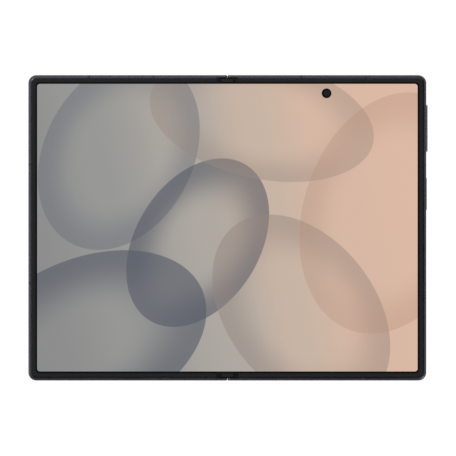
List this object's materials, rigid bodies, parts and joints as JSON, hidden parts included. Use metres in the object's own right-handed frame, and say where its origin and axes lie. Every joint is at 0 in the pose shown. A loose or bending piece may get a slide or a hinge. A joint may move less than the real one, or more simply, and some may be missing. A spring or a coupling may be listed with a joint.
{
  "type": "foldable smartphone",
  "caption": "Book style folding phone, open flat: two thin metal framed halves, one flexible inner screen, geared hinge spine, edge keys, card tray and rear camera island.",
  "frame": {"origin": "middle of the fold line, at the height of the lens rings, the lowest point when the phone lies open on its back", "axes": "+X across the open phone towards the key side, +Y up along the fold, +Z out of the main screen"},
  "size_m": [0.162, 0.1238, 0.0067],
  "materials": {
    "frame_metal": "bead blasted and anodised graphite",
    "key_metal": "anodised graphite, matching the frame",
    "antenna_plastic": "insert moulded, flush with the metal",
    "rim_plastic": "fine textured soft black",
    "screen_right": "lit flexible panel, warm side of a soft gradient",
    "screen_left": "lit flexible panel, grey side of a soft gradient",
    "screen_fold": "lit flexible panel, middle of a soft gradient",
    "backing_metal": "plain sheet",
    "lens_glass": "coated optical glass over a black barrel",
    "back_glass": "etched satin glass over a dark coat",
    "cover_glass": "polished glass over a black screen",
    "cover_screen": "dark when off",
    "ring_metal": "turned and anodised",
    "flash_diffuser": "clear with a fine lens texture",
    "camera_housing": "black",
    "circuit_board": "solder mask",
    "shield_metal": "pressed sheet",
    "battery_wrap": "film wrapped pouch",
    "coil_copper": "varnished winding",
    "black_plastic": "moulded",
    "motor_metal": "plated",
    "switch_metal": "gold flashed domes on a strip",
    "hinge_steel": "sintered and tumbled",
    "shaft_steel": "ground",
    "screw_steel": "plain",
    "spine_metal": "anodised graphite",
    "cap_plastic": "moulded",
    "cable_film": "polyimide film over copper"
  },
  "bodies": {
    "right_half": {"right_frame": "frame_metal", "right_antenna_breaks": "antenna_plastic", "right_bezel_rim": "rim_plastic", "right_backing_plate": "backing_metal", "right_screen_panel": "screen_right", "selfie_camera": "lens_glass", "rear_glass": "back_glass", "camera_island": "frame_metal", "lens_rings": "ring_metal", "lens_windows": "lens_glass", "rear_cameras": "camera_housing", "flash_window": "flash_diffuser", "main_board": "circuit_board", "board_shields": "shield_metal", "main_battery": "battery_wrap", "charging_coil": "coil_copper", "lower_board": "circuit_board", "charging_port_shell": "shield_metal", "charging_port_tongue": "black_plastic", "card_reader": "shield_metal", "loudspeaker": "black_plastic", "vibration_motor": "motor_metal", "key_switches": "switch_metal", "right_magnets": "motor_metal", "right_hinge_arms": "hinge_steel", "right_hinge_shafts": "shaft_steel", "right_sync_gears": "shaft_steel", "right_arm_screws": "screw_steel"},
    "hinge_spine": {"spine_cover": "spine_metal", "hinge_brackets": "hinge_steel", "bracket_screws": "screw_steel", "friction_clips": "hinge_steel", "centre_plate": "hinge_steel", "spine_end_caps": "cap_plastic", "hinge_cables": "cable_film", "fold_screen_panel": "screen_fold"},
    "left_half": {"left_frame": "frame_metal", "left_antenna_breaks": "antenna_plastic", "left_bezel_rim": "rim_plastic", "left_backing_plate": "backing_metal", "left_screen_panel": "screen_left", "cover_glass": "cover_glass", "cover_screen_panel": "cover_screen", "cover_camera": "lens_glass", "left_board": "circuit_board", "left_battery": "battery_wrap", "earpiece_speaker": "black_plastic", "left_magnets": "motor_metal", "left_hinge_arms": "hinge_steel", "left_hinge_shafts": "shaft_steel", "left_sync_gears": "shaft_steel", "left_arm_screws": "screw_steel"},
    "right_wing": {"right_wing_plate": "hinge_steel"},
    "left_wing": {"left_wing_plate": "hinge_steel"},
    "right_idler": {"right_sync_idler": "shaft_steel"},
    "left_idler": {"left_sync_idler": "shaft_steel"},
    "volume_key": {"volume_key": "key_metal"},
    "power_key": {"power_key": "key_metal"},
    "card_tray": {"card_tray": "frame_metal"}
  },
  "joints": [
    {"name": "right_fold", "type": "hinge", "parent": "right_half", "child": "hinge_spine", "pos_m": [0.00185, 0, 0.0049], "axis": [0, 1, 0], "range_deg": [0, 90], "deforming": ["fold_screen_panel", "hinge_cables"]},
    {"name": "left_fold", "type": "hinge", "parent": "hinge_spine", "child": "left_half", "pos_m": [-0.00185, 0, 0.0049], "axis": [0, 1, 0], "range_deg": [0, 90]},
    {"name": "right_wing_tilt", "type": "hinge", "parent": "right_half", "child": "right_wing", "pos_m": [0.0076, 0, 0.00565], "axis": [0, -1, 0], "range_deg": [0, 32]},
    {"name": "left_wing_tilt", "type": "hinge", "parent": "left_half", "child": "left_wing", "pos_m": [-0.0076, 0, 0.00565], "axis": [0, 1, 0], "range_deg": [0, 32]},
    {"name": "right_idler_turn", "type": "hinge", "parent": "hinge_spine", "child": "right_idler", "pos_m": [0.00065, 0, 0.0044], "axis": [0, 1, 0], "range_deg": [0, 90]},
    {"name": "left_idler_turn", "type": "hinge", "parent": "hinge_spine", "child": "left_idler", "pos_m": [-0.00065, 0, 0.0044], "axis": [0, -1, 0], "range_deg": [0, 90]},
    {"name": "volume_rocker", "type": "hinge", "parent": "right_half", "child": "volume_key", "pos_m": [0.0788, 0.0404, 0.00395], "axis": [0, 0, 1], "range_deg": [-1.2, 1.2], "stiffness_Nm_per_rad": 0.86},
    {"name": "power_press", "type": "slide", "parent": "right_half", "child": "power_key", "axis": [-1, 0, 0], "range_m": [0, 0.00015], "stiffness_N_per_m": 2000},
    {"name": "tray_slide", "type": "slide", "parent": "right_half", "child": "card_tray", "axis": [0, -1, 0], "range_m": [0, 0.015]}
  ],
  "couplings": [
    {"joint": "left_fold", "follows": "right_fold", "ratio": 1},
    {"joint": "right_wing_tilt", "follows": "right_fold", "ratio": 0.35556},
    {"joint": "left_wing_tilt", "follows": "right_fold", "ratio": 0.35556},
    {"joint": "right_idler_turn", "follows": "right_fold", "ratio": 1},
    {"joint": "left_idler_turn", "follows": "right_fold", "ratio": 1}
  ]
}
